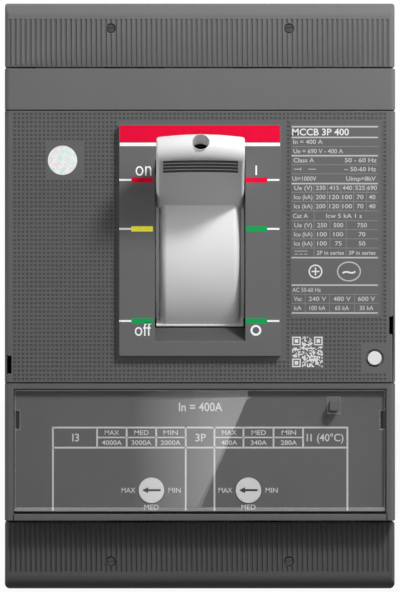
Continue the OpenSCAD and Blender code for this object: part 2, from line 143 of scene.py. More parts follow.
def round_edges(piece, radius, crisp=None):
    """Rounds the edges of a piece, except those whose two ends are crisp."""
    shape = bmesh.new()
    shape.from_mesh(piece.data)
    sharp = [edge for edge in shape.edges
             if len(edge.link_faces) == 2 and edge.calc_face_angle() > math.radians(35)
             and not (crisp and all(crisp(v.co) for v in edge.verts))]
    bmesh.ops.bevel(shape, geom=sharp, offset=radius, segments=2, profile=0.5, affect="EDGES",
                    clamp_overlap=False)
    shape.to_mesh(piece.data)
    shape.free()


def bake_modifiers(piece):
    """What the modifiers make becomes the piece's own plain mesh."""
    graph = bpy.context.evaluated_depsgraph_get()
    made = bpy.data.meshes.new_from_object(piece.evaluated_get(graph), preserve_all_data_layers=True,
                                           depsgraph=graph)
    piece.modifiers.clear()
    piece.data = made


def smooth_curves(piece, crease=32):
    """Curves are shaded smooth and flat faces stay flat."""
    bake_modifiers(piece)
    piece.data.shade_smooth()
    piece.data.set_sharp_from_angle(angle=math.radians(crease))
    normals = piece.modifiers.new("flat faces", "WEIGHTED_NORMAL")
    normals.keep_sharp = True
    bake_modifiers(piece)


def in_place_of(piece, slot, body, *nodes):
    """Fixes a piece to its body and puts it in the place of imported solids."""
    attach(piece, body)
    if nodes:
        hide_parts(*nodes)
    return piece


def moulding(node, name, material, slot, edge=0.35 * MM, body="case"):
    """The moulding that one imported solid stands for, with its edges rounded."""
    piece = solid_copy(node, name, material)
    round_edges(piece, edge)
    smooth_curves(piece)
    return in_place_of(piece, slot, body, node)


case_plastic = moulded_plastic("case_moulding", (0.138, 0.138, 0.141))
moulding("base", "base_moulding", case_plastic, "case_moulding")


# ---------------------------------------------------------------------------------------------
# Terminal bars. Six copper bars, sawn from strip and tin plated, each with the hole for a lug's
# bolt. They lie in the chambers, and the long screws from the back close the case.

def brushed_metal(name, colour, roughness=0.32, stretch=(1, 1, 0.06)):
    """Plated metal with fine drawn lines along one axis."""
    material = bpy.data.materials.new(name)
    material.use_nodes = True
    nodes, links = material.node_tree.nodes, material.node_tree.links
    shader = nodes["Principled BSDF"]
    place = nodes.new("ShaderNodeTexCoord")
    along = nodes.new("ShaderNodeMapping")
    along.inputs["Scale"].default_value = stretch
    lines = nodes.new("ShaderNodeTexNoise")
    lines.inputs["Scale"].default_value = 1 / (0.25 * MM)
    lines.inputs["Detail"].default_value = 3
    cloud = nodes.new("ShaderNodeTexNoise")
    cloud.inputs["Scale"].default_value = 1 / (4 * MM)
    links.new(place.outputs["Object"], along.inputs["Vector"])
    links.new(along.outputs["Vector"], lines.inputs["Vector"])
    links.new(place.outputs["Object"], cloud.inputs["Vector"])
    tone = nodes.new("ShaderNodeMix")
    tone.data_type = "RGBA"
    tone.inputs["A"].default_value = (*[c * 0.82 for c in colour], 1)
    tone.inputs["B"].default_value = (*colour, 1)
    links.new(cloud.outputs["Fac"], tone.inputs["Factor"])
    links.new(tone.outputs["Result"], shader.inputs["Base Color"])
    gloss = nodes.new("ShaderNodeMapRange")
    gloss.inputs["To Min"].default_value = roughness - 0.08
    gloss.inputs["To Max"].default_value = roughness + 0.12
    links.new(lines.outputs["Fac"], gloss.inputs["Value"])
    links.new(gloss.outputs["Result"], shader.inputs["Roughness"])
    bump = nodes.new("ShaderNodeBump")
    bump.inputs["Strength"].default_value = 0.4
    bump.inputs["Distance"].default_value = 0.01 * MM
    links.new(lines.outputs["Fac"], bump.inputs["Height"])
    links.new(bump.outputs["Normal"], shader.inputs["Normal"])
    shader.inputs["Metallic"].default_value = 1
    return material


tin_plate = brushed_metal("tin_plated_copper", (0.78, 0.76, 0.72))
zinc_plate = brushed_metal("zinc_plated_steel", (0.62, 0.62, 0.60), stretch=(1, 0.06, 1))
for pole in (1, 2, 3):
    moulding(f"line_terminal_{pole}", f"line_bar_{pole}", tin_plate, "tinned_copper", edge=0.3 * MM)
    moulding(f"load_terminal_{pole}", f"load_bar_{pole}", tin_plate, "tinned_copper", edge=0.3 * MM)
for number in (1, 2, 3, 4):
    moulding(f"case_screw_{number}", f"closing_screw_{number}", zinc_plate, "plated_steel", edge=0.25 * MM)


# ---------------------------------------------------------------------------------------------
# Main cover. The middle moulding closes the case; its plain band shows between the upper
# terminal cover and the front cover.

moulding("main_cover", "main_cover_moulding", case_plastic, "case_moulding")


# ---------------------------------------------------------------------------------------------
# Trip unit. A flat dark moulding behind the flap, screen printed in white with the rated current
# and the two scales. The ink stands a few hundredths of a millimetre proud.

def face_depth(node):
    """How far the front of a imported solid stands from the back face, in millimetres."""
    return -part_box(node)[0].y / MM


def plain_ink(name, colour, roughness=0.45):
    """Screen ink: nearly even, a little thin in places."""
    material = bpy.data.materials.new(name)
    material.use_nodes = True
    nodes, links = material.node_tree.nodes, material.node_tree.links
    shader = nodes["Principled BSDF"]
    place = nodes.new("ShaderNodeTexCoord")
    thin = nodes.new("ShaderNodeTexNoise")
    thin.inputs["Scale"].default_value = 1 / (1.2 * MM)
    thin.inputs["Detail"].default_value = 3
    links.new(place.outputs["Object"], thin.inputs["Vector"])
    tone = nodes.new("ShaderNodeMix")
    tone.data_type = "RGBA"
    tone.inputs["A"].default_value = (*[c * 0.9 for c in colour], 1)
    tone.inputs["B"].default_value = (*colour, 1)
    links.new(thin.outputs["Fac"], tone.inputs["Factor"])
    links.new(tone.outputs["Result"], shader.inputs["Base Color"])
    shader.inputs["Roughness"].default_value = roughness
    shader.inputs["Specular IOR Level"].default_value = 0.1
    return material


def ink_block(print_mesh, x0, x1, z0, z1, depth, proud=0.03, root=0.1):
    """A printed bar between two sides and two heights, rooted in a face at that depth."""
    box = bmesh.ops.create_cube(print_mesh, size=1)
    size = Vector((x1 - x0, root + proud, z1 - z0)) * MM
    centre = Vector(((x0 + x1) / 2, -(depth + (proud - root) / 2), (z0 + z1) / 2)) * MM
    bmesh.ops.transform(print_mesh, matrix=Matrix.LocRotScale(centre, None, size), verts=box["verts"])


def letters(words, bold=0.0):
    """Mesh of a line of letters in the font's own unit, one unit thick."""
    line = bpy.data.curves.new("letters", "FONT")
    line.body = words
    line.align_x = "CENTER"
    line.resolution_u = 3
    line.offset = bold
    line.extrude = 0.5
    holder = bpy.data.objects.new("letters", line)
    scene.collection.objects.link(holder)
    graph = bpy.context.evaluated_depsgraph_get()
    mesh = bpy.data.meshes.new_from_object(holder.evaluated_get(graph), depsgraph=graph)
    bpy.data.objects.remove(holder)
    bpy.data.curves.remove(line)
    return mesh


def extent(mesh, axis):
    """The least and the greatest place of a mesh along an axis."""
    return [pick(v.co[axis] for v in mesh.vertices) for pick in (min, max)]


capital_foot, capital_top = extent(letters("H"), 1)


def ink_words(print_mesh, words, x, z, height, depth, bold=0.012, width=None, proud=0.03):
    """Words with capitals of that height, centred on a point, or drawn in to a given width."""
    mesh = letters(words, bold)
    tall = height / (capital_top - capital_foot)
    left, right = extent(mesh, 0)
    wide = tall if width is None else width / (right - left)
    mesh.transform(Matrix.Translation((-(left + right) / 2, -(capital_top + capital_foot) / 2, 0)))
    mesh.transform(Matrix.Diagonal((wide * MM, tall * MM, 2 * proud * MM, 1)))
    mesh.transform(Matrix.Rotation(math.pi / 2, 4, "X"))
    mesh.transform(Matrix.Translation((x * MM, -depth * MM, z * MM)))
    print_mesh.from_mesh(mesh)
    bpy.data.meshes.remove(mesh)


def ink_piece(name, print_mesh, material, body="case"):
    """All the ink of one colour as one piece that rides on its body."""
    mesh = bpy.data.meshes.new(name)
    print_mesh.to_mesh(mesh)
    print_mesh.free()
    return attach(new_piece(name, mesh, material), body)


panel_plastic = moulded_plastic("panel_plastic", (0.168, 0.168, 0.171), gloss=0)
moulding("trip_unit", "trip_unit_moulding", panel_plastic, "panel_plastic", edge=0.12 * MM)

white_ink = plain_ink("white_ink", (0.75, 0.75, 0.75))
PANEL_DEPTH = face_depth("trip_unit")
SCALE_TOP, SCALE_MIDDLE, SCALE_FOOT, SCALE_END = -47.2, -50.75, -54.4, -77.0
OUTER_LINES, INNER_LINES = (-52.75, 52.9), (-5.1, 5.2)
TICKS = (-36.9, -26.3, -15.7, 15.6, 26.4, 37)
LINE, THIN_LINE = 0.62, 0.5
PANEL_MIDDLE, WORD_ROW = 0.25, -50.8
scales = bmesh.new()
for z in (SCALE_TOP, SCALE_FOOT):
    ink_block(scales, OUTER_LINES[0], OUTER_LINES[1], z - LINE / 2, z + LINE / 2, PANEL_DEPTH)
for x in (*OUTER_LINES, *INNER_LINES):
    ink_block(scales, x - LINE / 2, x + LINE / 2, SCALE_END, SCALE_TOP + LINE / 2, PANEL_DEPTH)
for x0, x1 in ((TICKS[0], -5), (5.3, TICKS[-1])):
    ink_block(scales, x0, x1, SCALE_MIDDLE - THIN_LINE / 2, SCALE_MIDDLE + THIN_LINE / 2, PANEL_DEPTH)
for x in TICKS:
    ink_block(scales, x - LINE / 2, x + LINE / 2, SCALE_FOOT, SCALE_TOP, PANEL_DEPTH)
ink_words(scales, "In = 400A", PANEL_MIDDLE, -39.8, 3.0, PANEL_DEPTH, width=15.6)
ink_words(scales, "I3", -44.6, WORD_ROW, 2.7, PANEL_DEPTH)
ink_words(scales, "3P", PANEL_MIDDLE, WORD_ROW, 2.7, PANEL_DEPTH)
ink_words(scales, "I1 (40°C)", 44.9, WORD_ROW, 2.6, PANEL_DEPTH, width=13.2)
SETTINGS = ((-31.6, "MAX", "4000A"), (-21.0, "MED", "3000A"), (-10.5, "MIN", "2000A"),
            (10.5, "MAX", "400A"), (21.1, "MED", "340A"), (31.9, "MIN", "280A"))
SMALL_TEXT, LETTER_PITCH, LETTER_SPARE = 1.6, 1.35, 0.4
for x, mark, amperes in SETTINGS:
    ink_words(scales, mark, x, -49.0, SMALL_TEXT, PANEL_DEPTH, width=5.2)
    ink_words(scales, amperes, x, -52.6, SMALL_TEXT, PANEL_DEPTH,
              width=LETTER_PITCH * len(amperes) + LETTER_SPARE)
DIAL_SIDE, DIAL_HEIGHT, DIAL_TEXT = 17.4, -69.7, 1.73
for centre in (-DIAL_SIDE, DIAL_SIDE):
    ink_words(scales, "MAX", centre - 8.25, DIAL_HEIGHT, DIAL_TEXT, PANEL_DEPTH, width=5.0)
    ink_words(scales, "MIN", centre + 8.3, DIAL_HEIGHT, DIAL_TEXT, PANEL_DEPTH, width=4.4)
    ink_words(scales, "MED", centre, DIAL_HEIGHT - 6.05, DIAL_TEXT, PANEL_DEPTH, width=5.2)
ink_piece("scale_print", scales, white_ink)


# ---------------------------------------------------------------------------------------------
# Setting dials. Two small turned knobs of white plastic with an arrow sunk in the face and
# filled with dark paint; a screwdriver turns them.

def band(shape, here, there):
    """A closed band of faces between two rings with the same number of points."""
    for k in range(len(here)):
        shape.faces.new((here[k], here[k - 1], there[k - 1], there[k]))


def raised_face(print_mesh, outline, rise):
    """A flat plate of ink with that outline, in millimetres, as thick as the rise."""
    back = [print_mesh.verts.new(Vector(corner) * MM) for corner in outline]
    front = [print_mesh.verts.new(v.co + Vector((0, -rise * MM, 0))) for v in back]
    print_mesh.faces.new(back)
    print_mesh.faces.new(front)
    band(print_mesh, back, front)
    bmesh.ops.recalc_face_normals(print_mesh, faces=print_mesh.faces)


white_plastic = moulded_plastic("white_plastic", (0.80, 0.80, 0.79), roughness=0.36,
                                relief=0.004 * MM, gloss=0.4, fleck_tone=1.04)
arrow_ink = plain_ink("arrow_ink", (0.07, 0.07, 0.075))
ARROW_BACK, ARROW_RISE = PANEL_DEPTH + 0.05, 0.11
ARROW = ((-3.35, 0), (-1.2, 1.05), (-1.2, 0.36), (3.25, 0.36), (3.25, -0.36), (-1.2, -0.36), (-1.2, -1.05))
for node, centre in (("magnetic_dial", -DIAL_SIDE), ("thermal_dial", DIAL_SIDE)):
    moulding(node, node + "_knob", white_plastic, "dial_plastic", edge=0.12 * MM, body=node)
    arrow = bmesh.new()
    raised_face(arrow, [(centre + x, -ARROW_BACK, DIAL_HEIGHT + z) for x, z in ARROW], ARROW_RISE)
    ink_piece(node + "_arrow", arrow, arrow_ink, body=node)


# ---------------------------------------------------------------------------------------------
# Trip frame, clear flap and seal post. The flap is a plate of polycarbonate on two pins at its
# lower edge; the post comes through it and takes a seal wire.

frame_plastic = moulded_plastic("frame_plastic", (0.118, 0.118, 0.121))
moulding("trip_frame", "trip_frame_moulding", frame_plastic, "case_moulding")
post_plastic = moulded_plastic("post_plastic", (0.12, 0.12, 0.122))
moulding("seal_post", "seal_post_moulding", post_plastic, "post_plastic", edge=0.3 * MM)

clear_plastic = bpy.data.materials.new("clear_plastic")
clear_plastic.use_nodes = True
clear_nodes, clear_links = clear_plastic.node_tree.nodes, clear_plastic.node_tree.links
clear_shader = clear_nodes["Principled BSDF"]
clear_place = clear_nodes.new("ShaderNodeTexCoord")
haze = clear_nodes.new("ShaderNodeTexNoise")
haze.inputs["Scale"].default_value = 1 / (18 * MM)
haze.inputs["Detail"].default_value = 3
clear_links.new(clear_place.outputs["Object"], haze.inputs["Vector"])
haze_tone = clear_nodes.new("ShaderNodeMix")
haze_tone.data_type = "RGBA"
haze_tone.inputs["A"].default_value = (0.94, 0.95, 0.96, 1)
haze_tone.inputs["B"].default_value = (1, 1, 1, 1)
clear_links.new(haze.outputs["Fac"], haze_tone.inputs["Factor"])
clear_links.new(haze_tone.outputs["Result"], clear_shader.inputs["Base Color"])
# Clear sheet lets nine tenths of the light through and mirrors the rest.
clear_shader.inputs["Metallic"].default_value = 1
clear_shader.inputs["Roughness"].default_value = 0
clear_shader.inputs["Alpha"].default_value = 0.08
moulding("trip_flap", "clear_flap", clear_plastic, "clear_plastic", edge=0.25 * MM, body="flap")


# ---------------------------------------------------------------------------------------------
# Front cover. A clip-on moulding whose face carries a fine grid of square dimples from the
# mould, with smooth fields where plates, marks and the escutcheon sit.

def stamp_tree(name, material):
    """A block on every point, tapered from its mouth at the front to its floor inside the part."""
    tree = bpy.data.node_groups.new(name, "GeometryNodeTree")
    for label, kind, in_out in (("Geometry", "NodeSocketGeometry", "INPUT"),
                                ("Mouth size", "NodeSocketVector", "INPUT"),
                                ("Floor share", "NodeSocketVector", "INPUT"),
                                ("Geometry", "NodeSocketGeometry", "OUTPUT")):
        tree.interface.new_socket(name=label, in_out=in_out, socket_type=kind)
    nodes, links = tree.nodes, tree.links
    given, result = nodes.new("NodeGroupInput"), nodes.new("NodeGroupOutput")
    block = nodes.new("GeometryNodeMeshCube")
    place = nodes.new("GeometryNodeInputPosition")
    split = nodes.new("ShaderNodeSeparateXYZ")
    inward = nodes.new("ShaderNodeMath")
    inward.operation = "ADD"
    inward.inputs[1].default_value = 0.5
    share = nodes.new("ShaderNodeMix")
    share.data_type = "VECTOR"
    share.inputs["A"].default_value = (1, 1, 1)
    taper = nodes.new("ShaderNodeVectorMath")
    taper.operation = "MULTIPLY"
    narrow = nodes.new("GeometryNodeSetPosition")
    shift = nodes.new("GeometryNodeTransform")
    shift.inputs["Translation"].default_value = (0, 0.5, 0)
    resize = nodes.new("GeometryNodeTransform")
    spread = nodes.new("GeometryNodeInstanceOnPoints")
    solid = nodes.new("GeometryNodeRealizeInstances")
    paint = nodes.new("GeometryNodeSetMaterial")
    paint.inputs["Material"].default_value = material
    links.new(place.outputs["Position"], split.inputs["Vector"])
    links.new(split.outputs["Y"], inward.inputs[0])
    links.new(inward.outputs["Value"], share.inputs["Factor"])
    links.new(given.outputs["Floor share"], share.inputs["B"])
    links.new(place.outputs["Position"], taper.inputs[0])
    links.new(share.outputs["Result"], taper.inputs[1])
    links.new(block.outputs["Mesh"], narrow.inputs["Geometry"])
    links.new(taper.outputs["Vector"], narrow.inputs["Position"])
    links.new(narrow.outputs["Geometry"], shift.inputs["Geometry"])
    links.new(shift.outputs["Geometry"], resize.inputs["Geometry"])
    links.new(given.outputs["Mouth size"], resize.inputs["Scale"])
    links.new(given.outputs["Geometry"], spread.inputs["Points"])
    links.new(resize.outputs["Geometry"], spread.inputs["Instance"])
    links.new(spread.outputs["Instances"], solid.inputs["Geometry"])
    links.new(solid.outputs["Geometry"], paint.inputs["Geometry"])
    links.new(paint.outputs["Geometry"], result.inputs["Geometry"])
    return tree


def grow(name, mesh, tree, **values):
    """Runs a tree on a mesh of points and keeps what it makes as a plain mesh."""
    piece = new_piece(name, mesh)
    modifier = piece.modifiers.new(name, "NODES")
    modifier.node_group = tree
    for socket in tree.interface.items_tree:
        if socket.in_out == "INPUT" and socket.name.replace(" ", "_") in values:
            modifier[socket.identifier] = values[socket.name.replace(" ", "_")]
    bake_modifiers(piece)
    return piece


def points(name, places):
    """A mesh of loose points at those places, given in millimetres."""
    mesh = bpy.data.meshes.new(name)
    mesh.from_pydata([Vector(p) * MM for p in places], [], [])
    return mesh


def cut(piece, *cutters):
    """Cuts shapes out of a piece; the cut faces keep the cutters' materials."""
    for cutter in cutters:
        saw = piece.modifiers.new("cut", "BOOLEAN")
        saw.operation = "DIFFERENCE"
        saw.solver = "MANIFOLD"
        saw.material_mode = "TRANSFER"
        saw.object = cutter
    bake_modifiers(piece)
    for cutter in cutters:
        bpy.data.objects.remove(cutter)


front_plastic = moulded_plastic("front_plastic", (0.122, 0.122, 0.125))
# The pits of the dimples take a darker grey: painted shade in the pits.
pit_plastic = moulded_plastic("pit_plastic", (0.09, 0.09, 0.092))
FRONT_DEPTH = face_depth("front_cover")
DIMPLE_PITCH, DIMPLE_MOUTH, DIMPLE_SHARE, DIMPLE_DEPTH, DIMPLE_PROUD = 1.509, 1.0, 0.8, 0.22, 0.04
FIRST_ACROSS, DIMPLES_ACROSS = -66.6, 89
FIRST_UPWARD, DIMPLES_UPWARD = -29.88, 64
# Left, right, foot and top of each field without dimples.
SMOOTH_FIELDS = ((-30.2, 30.4, -22.8, 62.9), (31.7, 65.9, -8.0, 62.9), (32.1, 44.7, -26.3, -13.8),
                 (-55.6, -42.4, 41.4, 55.2), (57.6, 67.2, -27.0, -17.2), (66.6, 70, -14.4, -6.6),
                 (-70, -66.6, -28.6, -20.6))
across = [FIRST_ACROSS + DIMPLE_PITCH * i for i in range(DIMPLES_ACROSS)]
upward = [FIRST_UPWARD + DIMPLE_PITCH * i for i in range(DIMPLES_UPWARD)]
dimples = [(x, -FRONT_DEPTH - DIMPLE_PROUD, z) for x in across for z in upward
           if not any(x0 < x < x1 and z0 < z < z1 for x0, x1, z0, z1 in SMOOTH_FIELDS)]
RECESS_LEFT, RECESS_RIGHT, RECESS_FOOT = 32, 65.6, -8.2


def in_plate_recess(point):
    """In the recess that the rating plate lies in, or on its border, where the edges stay crisp."""
    return RECESS_LEFT * MM < point.x < RECESS_RIGHT * MM and point.z > RECESS_FOOT * MM


front_cover = solid_copy("front_cover", "front_cover_moulding", front_plastic)
round_edges(front_cover, 0.35 * MM, crisp=in_plate_recess)
cut(front_cover, grow("dimples", points("dimples", dimples), stamp_tree("Dimple field", pit_plastic),
                      Mouth_size=(DIMPLE_MOUTH * MM, DIMPLE_DEPTH * MM, DIMPLE_MOUTH * MM),
                      Floor_share=(DIMPLE_SHARE, 1, DIMPLE_SHARE)))
smooth_curves(front_cover)
# The walls of the two slots for the clips are near black: painted shade in the deep narrow slots.
CLIP_INSIDE, CLIP_OUTSIDE, CLIP_LIP, CLIP_FLOOR = 67.6, 69.3, 0.2, 6.5
CLIP_HEIGHTS = ((-28, -21.2), (-13.9, -7.2))
hollow_shade = plain_ink("hollow_shade", (0.006, 0.006, 0.006), roughness=0.8)
front_cover.data.materials.append(hollow_shade)
clip_shade_index = len(front_cover.data.materials) - 1
for face in front_cover.data.polygons:
    side, z, sunk = abs(face.center.x) / MM, face.center.z / MM, FRONT_DEPTH + face.center.y / MM
    if (CLIP_INSIDE < side < CLIP_OUTSIDE and CLIP_LIP < sunk < CLIP_FLOOR
            and any(foot < z < top for foot, top in CLIP_HEIGHTS)):
        face.material_index = clip_shade_index
in_place_of(front_cover, "front_moulding", "case", "front_cover")


# ---------------------------------------------------------------------------------------------
# Rating plate. A thin printed film let into the front cover: a table of voltages and breaking
# currents in grey rules and small figures, with two generic signs.

plate_film = moulded_plastic("plate_film", (0.125, 0.125, 0.128), roughness=0.42, relief=0.004 * MM)
moulding("rating_plate", "rating_plate_film", plate_film, "plate_label", edge=0.08 * MM)
rule_ink = plain_ink("rule_ink", (0.50, 0.50, 0.50))
faint_ink = plain_ink("faint_ink", (0.26, 0.26, 0.26))
figure_ink = plain_ink("figure_ink", (0.52, 0.52, 0.52))
PLATE_DEPTH = face_depth("rating_plate")
PLATE_LEFT, PLATE_RIGHT = 32.8, 63.8
RULE_HEIGHTS = (60.7, 56.85, 50.3, 40.3, 13.75, 3.9, -6.1)
FAINT_HEIGHTS = (53.6, 47.1, 43.8, 37.2, 33.9, 30.5, 27.0, 23.8, 20.5, 17.2, 0.6, -2.6)
RULE_HALF, FAINT_HALF, COLUMN_HALF = 0.26, 0.1, 0.09
rules, faint_rules, figures = bmesh.new(), bmesh.new(), bmesh.new()
for z in RULE_HEIGHTS:
    ink_block(rules, PLATE_LEFT, PLATE_RIGHT, z - RULE_HALF, z + RULE_HALF, PLATE_DEPTH)
for z in FAINT_HEIGHTS:
    ink_block(faint_rules, PLATE_LEFT, PLATE_RIGHT, z - FAINT_HALF, z + FAINT_HALF, PLATE_DEPTH)
# Places of the upright rules across the plate, and the heights between which they run.
COLUMNS = (((40.8, 45.7, 50.5, 55.1, 59.7), 30.6, 40.0), ((40.9,), 27.1, 30.4),
           ((40.9, 46.6, 52.4), 17.3, 26.9), ((40.9, 52.4), 14.0, 17.1),
           ((37.7, 46.4, 55.4), -5.8, 0.5))
for uprights, foot, top in COLUMNS:
    for x in uprights:
        ink_block(faint_rules, x - COLUMN_HALF, x + COLUMN_HALF, foot, top, PLATE_DEPTH)
# Height of each line of words, height of its capitals, then the middle, width and text of its words.
PLATE_LINES = (
    (55.3, 1.5, ((38.7, 10.6, "In = 400 A"),)),
    (51.95, 1.5, ((42.4, 17.8, "Ue = 690 V - 400 A"),)),
    (48.7, 1.5, ((37.2, 7.4, "Class A"), (57.6, 11.4, "50 - 60 Hz"))),
    (45.5, 1.5, ((57.4, 11.4, "~ 50-60 Hz"),)),
    (42.1, 1.5, ((37.4, 8.6, "Ui=1000V"), (57.7, 10.6, "Uimp=8kV"))),
    (38.8, 1.5, ((37, 6.4, "Ue (V)"), (43.25, 3.5, "230"), (48.1, 3.5, "415"), (52.8, 3.5, "440"),
                 (57.4, 3.5, "525"), (61.7, 3.5, "690"))),
    (35.5, 1.5, ((37, 6.6, "Icu (kA)"), (43.25, 3.5, "200"), (48.1, 3.5, "120"), (52.8, 3.5, "100"),
                 (57.4, 2.4, "70"), (61.7, 2.4, "40"))),
    (32.2, 1.5, ((37, 6.6, "Ics (kA)"), (43.25, 3.5, "200"), (48.1, 3.5, "120"), (52.8, 3.5, "100"),
                 (57.4, 2.4, "70"), (61.7, 2.4, "40"))),
    (28.75, 1.5, ((36.0, 5.4, "Cat A"), (51.6, 12.8, "Icw 5 kA 1 s"))),
    (25.4, 1.5, ((37, 6.4, "Ue (V)"), (43.75, 3.5, "250"), (49.6, 3.5, "500"), (58.1, 3.5, "750"))),
    (22.15, 1.5, ((37, 6.6, "Icu (kA)"), (43.75, 3.5, "100"), (49.6, 3.5, "100"), (58.1, 2.4, "70"))),
    (18.85, 1.5, ((37, 6.6, "Ics (kA)"), (43.75, 3.5, "100"), (49.6, 2.4, "75"), (58.1, 2.4, "50"))),
    (15.5, 1.4, ((46.7, 9.8, "2P in series"), (58.1, 9.6, "3P in series"))),
    (2.2, 1.5, ((38.2, 10.2, "AC 50-60 Hz"),)),
    (-1.0, 1.5, ((35.1, 3.0, "Vac"), (42.1, 6.2, "240 V"), (50.9, 6.2, "480 V"), (59.7, 6.2, "600 V"))),
    (-4.3, 1.5, ((35.1, 2.6, "kA"), (42.1, 5.8, "100 kA"), (50.9, 5.0, "65 kA"), (59.7, 5.0, "35 kA"))),
)
for z, height, words in PLATE_LINES:
    for x, width, text in words:
        ink_words(figures, text, x, z, height, PLATE_DEPTH, bold=0.012, width=width, proud=0.02)
title = bmesh.new()
ink_words(title, "MCCB 3P 400", 43.2, 58.8, 2.3, PLATE_DEPTH, bold=0.018, width=20.4, proud=0.02)
# Left, right, foot and top of the strokes of a breaker sign and of a direct-current sign.
BREAKER_SIGN = ((33.6, 36.0, 45.35, 45.6), (38.8, 41.6, 45.35, 45.6), (36.0, 36.25, 45.0, 46.0))
DIRECT_SIGN = ((33.9, 38.5, 16.0, 16.2), (33.9, 35.1, 14.9, 15.1), (35.6, 36.8, 14.9, 15.1),
               (37.3, 38.5, 14.9, 15.1))
for x0, x1, z0, z1 in BREAKER_SIGN + DIRECT_SIGN:
    ink_block(figures, x0, x1, z0, z1, PLATE_DEPTH)


def ink_ring(print_mesh, x, z, outer, inner, depth, stretch=1.0, steps=36, proud=0.03, root=0.07):
    """A flat ring of ink as a closed band, or an oval where its width is stretched."""
    turns = [2 * math.pi * k / steps for k in range(steps)]
    loops = []
    for radius, y in ((outer, root - depth), (outer, -depth - proud),
                      (inner, -depth - proud), (inner, root - depth)):
        wide = stretch * outer + radius - outer
        places = [Vector((x + wide * math.cos(t), y, z + radius * math.sin(t))) for t in turns]
        loops.append([print_mesh.verts.new(place * MM) for place in places])
    for here, there in zip(loops, loops[1:] + loops[:1]):
        band(print_mesh, here, there)


# Two generic signs: a plus in a ring and a wave in an oval.
SIGN_HEIGHT, PLUS_SIDE, WAVE_SIDE = 8.8, 41.4, 53.4
STROKE, STROKE_GAP, REACH = 0.25, 0.01, 1.4
ink_ring(title, PLUS_SIDE, SIGN_HEIGHT, outer=2.5, inner=2.0, depth=PLATE_DEPTH)
ink_block(title, PLUS_SIDE - STROKE, PLUS_SIDE + STROKE, SIGN_HEIGHT - REACH, SIGN_HEIGHT + REACH,
          PLATE_DEPTH)
for side in (-1, 1):
    x0, x1 = sorted((PLUS_SIDE + side * REACH, PLUS_SIDE + side * (STROKE + STROKE_GAP)))
    ink_block(title, x0, x1, SIGN_HEIGHT - STROKE, SIGN_HEIGHT + STROKE, PLATE_DEPTH)
ink_ring(rules, WAVE_SIDE, SIGN_HEIGHT, outer=3.6, inner=3.15, depth=PLATE_DEPTH, stretch=1.2)
ink_words(title, "~", WAVE_SIDE, SIGN_HEIGHT, 3.0, PLATE_DEPTH, bold=0.03, width=4.6)
for name, printed, ink in (("rating_rules", rules, rule_ink), ("rating_faint_rules", faint_rules, faint_ink),
                           ("rating_figures", figures, figure_ink), ("rating_title", title, white_ink)):
    bmesh.ops.recalc_face_normals(printed, faces=printed.faces)
    ink_piece(name, printed, ink)


# ---------------------------------------------------------------------------------------------
# Marks on the front cover. A printed square field of random cells, a round hologram sticker
# with its shimmer painted into its colour, and the white button that trips the breaker for a test.

CODE_LEFT, CODE_TOP, CELL, CELLS, CORNER_CELLS = 33.05, -14.6, 0.436, 25, 7
FILLED_SHARE, CELL_WIDTH, CELL_THICK, CELL_PROUD = 0.52, 0.98 * CELL, 0.08, 0.03
CORNERS = ((0, 0), (CELLS - CORNER_CELLS, 0), (0, CELLS - CORNER_CELLS))
chance = random.Random(11)
filled = [(CODE_LEFT + CELL * (i + 0.5), -FRONT_DEPTH - CELL_PROUD, CODE_TOP - CELL * (j + 0.5))
          for i in range(CELLS) for j in range(CELLS)
          if chance.random() < FILLED_SHARE
          and not any(-1 <= i - x <= CORNER_CELLS and -1 <= j - z <= CORNER_CELLS for x, z in CORNERS)]
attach(grow("code_cells", points("code_cells", filled), stamp_tree("Code cells", white_ink),
             Mouth_size=(CELL_WIDTH * MM, CELL_THICK * MM, CELL_WIDTH * MM), Floor_share=(1, 1, 1)), "case")
# A corner mark is four bars around a square, with their sides counted in cells from its middle.
CORNER_BLOCKS = ((-3.5, 3.5, 2.5, 3.5), (-3.5, 3.5, -3.5, -2.5), (-3.5, -2.5, -2.5, 2.5),
                 (2.5, 3.5, -2.5, 2.5), (-1.5, 1.5, -1.5, 1.5))
corners = bmesh.new()
for i, j in CORNERS:
    x, z = CODE_LEFT + CELL * (i + CORNER_CELLS / 2), CODE_TOP - CELL * (j + CORNER_CELLS / 2)
    for x0, x1, z0, z1 in CORNER_BLOCKS:
        ink_block(corners, x + CELL * x0, x + CELL * x1, z + CELL * z0, z + CELL * z1, FRONT_DEPTH)
ink_piece("code_corners", corners, white_ink)

sticker_film = bpy.data.materials.new("sticker_film")
sticker_film.use_nodes = True
film_nodes, film_links = sticker_film.node_tree.nodes, sticker_film.node_tree.links
film_shader = film_nodes["Principled BSDF"]
film_place = film_nodes.new("ShaderNodeTexCoord")
film_cells = film_nodes.new("ShaderNodeTexNoise")
film_cells.inputs["Scale"].default_value = 1 / (2.2 * MM)
film_cells.inputs["Detail"].default_value = 2
film_links.new(film_place.outputs["Object"], film_cells.inputs["Vector"])
film_ramp = film_nodes.new("ShaderNodeValToRGB")
# Pink, pale and teal blotches are the hologram's shimmer, painted into the film's colour.
PAINTED_SHIMMER = ((0.0, (0.78, 0.52, 0.55)), (0.42, (0.80, 0.74, 0.74)), (0.5, (0.86, 0.86, 0.86)),
           (0.58, (0.70, 0.82, 0.80)), (0.75, (0.55, 0.72, 0.70)))
while len(film_ramp.color_ramp.elements) < len(PAINTED_SHIMMER):
    film_ramp.color_ramp.elements.new(0.5)
for element, (place_on_ramp, colour) in zip(film_ramp.color_ramp.elements, PAINTED_SHIMMER):
    element.position = place_on_ramp
    element.color = (*colour, 1)
film_links.new(film_cells.outputs["Fac"], film_ramp.inputs["Fac"])
film_links.new(film_ramp.outputs["Color"], film_shader.inputs["Base Color"])
film_shader.inputs["Roughness"].default_value = 0.3
STICKER_SIDE, STICKER_HEIGHT, STICKER_RADIUS, STICKER_STEPS = -49.3, 48.65, 5.25, 64
STICKER_ROOT, STICKER_PROUD = 0.07, 0.06
